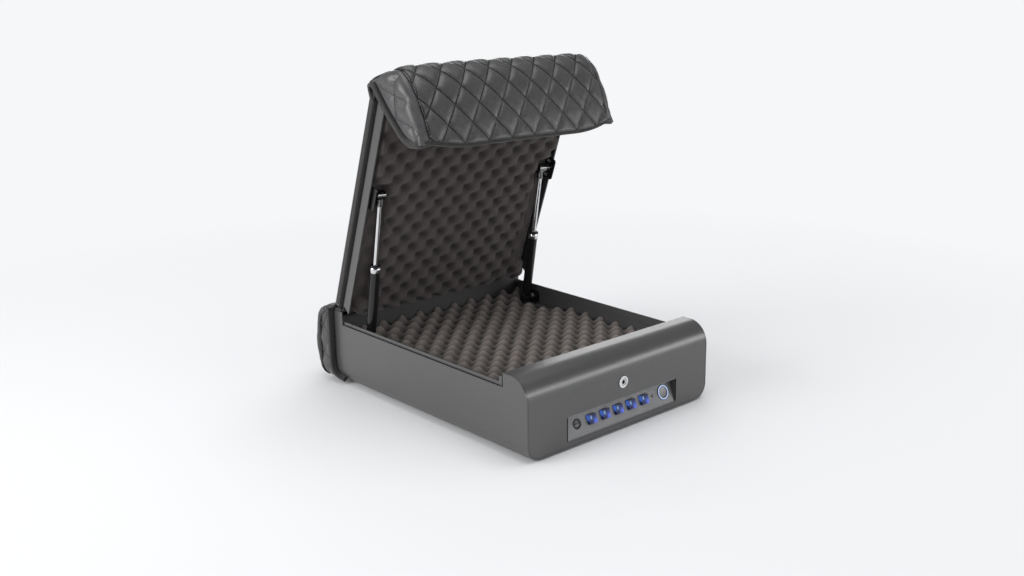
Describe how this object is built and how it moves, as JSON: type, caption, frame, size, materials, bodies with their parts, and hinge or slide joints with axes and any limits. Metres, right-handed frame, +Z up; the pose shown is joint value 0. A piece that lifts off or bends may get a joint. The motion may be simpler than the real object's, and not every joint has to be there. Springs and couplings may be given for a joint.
{
  "type": "portable car safe",
  "caption": "Flat steel car safe with a rear-hinged lid on gas struts, egg-crate foam lining, keypad and fingerprint lock, and a quilted leather cover.",
  "frame": {"origin": "on the floor plane, at the middle of the object's footprint with the lid open", "axes": "+Z up; -Y towards the keypad front; +X to the right seen from the front"},
  "size_m": [0.3166, 0.4103, 0.4171],
  "materials": {
    "powder_coat": "satin charcoal powder coat, fine texture",
    "dark_steel": "dark satin paint inside the tray",
    "bright_steel": "polished",
    "black_gloss": "black gloss paint",
    "black_plastic": "matte",
    "keypad_plastic": "satin moulded plastic",
    "lit_key": "translucent, lit blue from behind",
    "lit_ring": "light ring, pale blue",
    "foam": "open-cell egg-crate foam, warm dark grey",
    "quilted_leather": "charcoal synthetic leather, diamond quilted",
    "rubber": "matte rubber",
    "circuit_board": "green solder mask"
  },
  "bodies": {
    "case": {"case_shell": "powder_coat", "front_panel": "powder_coat", "rear_panel": "powder_coat", "tray_front_wall": "dark_steel", "tray_rear_wall": "dark_steel", "rim_lip_left": "powder_coat", "rim_lip_right": "powder_coat", "tray_foam": "foam", "foot_front_left": "rubber", "foot_front_right": "rubber", "foot_rear_left": "rubber", "foot_rear_right": "rubber", "lower_bracket_left": "black_gloss", "lower_bracket_right": "black_gloss", "lower_ball_stud_left": "bright_steel", "lower_ball_stud_right": "bright_steel", "keypad_plate": "keypad_plastic", "fingerprint_reader": "keypad_plastic", "fingerprint_light_ring": "lit_ring", "status_light": "black_plastic", "power_socket": "black_plastic", "control_board": "circuit_board", "lock_barrel": "bright_steel", "lock_nut": "bright_steel", "latch_motor": "dark_steel", "battery_box": "black_plastic", "hinge_leaf_case": "dark_steel", "hinge_pin": "bright_steel", "cover_tail": "quilted_leather", "cover_hinge_strip": "quilted_leather"},
    "lid": {"lid_shell": "powder_coat", "hinge_leaf_lid": "dark_steel", "lid_foam": "foam", "lid_cover": "quilted_leather", "upper_bracket_left": "black_gloss", "upper_bracket_right": "black_gloss", "upper_ball_stud_left": "bright_steel", "upper_ball_stud_right": "bright_steel", "bracket_screw_front_left": "bright_steel", "bracket_screw_front_right": "bright_steel", "bracket_screw_rear_left": "bright_steel", "bracket_screw_rear_right": "bright_steel"},
    "hood": {"cover_hood": "quilted_leather"},
    "strut_barrel_left": {"strut_cylinder_left": "black_gloss"},
    "strut_barrel_right": {"strut_cylinder_right": "black_gloss"},
    "strut_piston_left": {"strut_rod_left": "bright_steel", "strut_rod_end_left": "black_gloss"},
    "strut_piston_right": {"strut_rod_right": "bright_steel", "strut_rod_end_right": "black_gloss"},
    "key_cap_1": {"key_1": "lit_key"},
    "key_cap_2": {"key_2": "lit_key"},
    "key_cap_3": {"key_3": "lit_key"},
    "key_cap_4": {"key_4": "lit_key"},
    "key_cap_5": {"key_5": "lit_key"},
    "lock_core": {"lock_plug": "black_gloss", "lock_cam": "bright_steel"},
    "latch": {"latch_bar": "bright_steel"},
    "crank": {"latch_crank": "bright_steel"}
  },
  "joints": [
    {"name": "lid_hinge", "type": "hinge", "parent": "case", "child": "lid", "pos_m": [0, 0.1521, 0.098], "axis": [1, 0, 0], "range_deg": [0, 70], "stiffness_Nm_per_rad": 1.5, "springref_deg": -91.67},
    {"name": "hood_fold", "type": "hinge", "parent": "lid", "child": "hood", "pos_m": [0, 0.05955, 0.39613], "axis": [1, 0, 0], "range_deg": [-40, 0]},
    {"name": "strut_swing_left", "type": "hinge", "parent": "case", "child": "strut_barrel_left", "pos_m": [-0.132, 0.1141, 0.068], "axis": [1, 0, 0], "range_deg": [0, 72.8]},
    {"name": "strut_swing_right", "type": "hinge", "parent": "case", "child": "strut_barrel_right", "pos_m": [0.132, 0.1141, 0.068], "axis": [1, 0, 0], "range_deg": [0, 72.8]},
    {"name": "strut_slide_left", "type": "slide", "parent": "strut_barrel_left", "child": "strut_piston_left", "axis": [0, -0.1765, 0.9843], "range_m": [-0.055, 0]},
    {"name": "strut_slide_right", "type": "slide", "parent": "strut_barrel_right", "child": "strut_piston_right", "axis": [0, -0.1765, 0.9843], "range_m": [-0.055, 0]},
    {"name": "key_1_press", "type": "slide", "parent": "case", "child": "key_cap_1", "axis": [0, 0.9363, -0.3511], "range_m": [0, 0.0012], "stiffness_N_per_m": 400},
    {"name": "key_2_press", "type": "slide", "parent": "case", "child": "key_cap_2", "axis": [0, 0.9363, -0.3511], "range_m": [0, 0.0012], "stiffness_N_per_m": 400},
    {"name": "key_3_press", "type": "slide", "parent": "case", "child": "key_cap_3", "axis": [0, 0.9363, -0.3511], "range_m": [0, 0.0012], "stiffness_N_per_m": 400},
    {"name": "key_4_press", "type": "slide", "parent": "case", "child": "key_cap_4", "axis": [0, 0.9363, -0.3511], "range_m": [0, 0.0012], "stiffness_N_per_m": 400},
    {"name": "key_5_press", "type": "slide", "parent": "case", "child": "key_cap_5", "axis": [0, 0.9363, -0.3511], "range_m": [0, 0.0012], "stiffness_N_per_m": 400},
    {"name": "lock_turn", "type": "hinge", "parent": "case", "child": "lock_core", "pos_m": [0, -0.1939, 0.0594], "axis": [0, 1, 0], "range_deg": [0, 90]},
    {"name": "crank_turn", "type": "hinge", "parent": "case", "child": "crank", "pos_m": [0.045, -0.1819, 0.081], "axis": [0, 0, 1], "range_deg": [0, 180]},
    {"name": "latch_slide", "type": "slide", "parent": "case", "child": "latch", "axis": [0, 1, 0], "range_m": [0, 0.007]}
  ],
  "couplings": [
    {"joint": "hood_fold", "follows": "lid_hinge", "ratio": -0.57143},
    {"joint": "strut_swing_left", "follows": "lid_hinge", "ratio": 1.0394},
    {"joint": "strut_swing_right", "follows": "lid_hinge", "ratio": 1.0394},
    {"joint": "strut_slide_left", "follows": "lid_hinge", "m_per_rad": -0.045001},
    {"joint": "strut_slide_right", "follows": "lid_hinge", "m_per_rad": -0.045001},
    {"joint": "crank_turn", "follows": "latch_slide", "rad_per_m": 448.79}
  ]
}
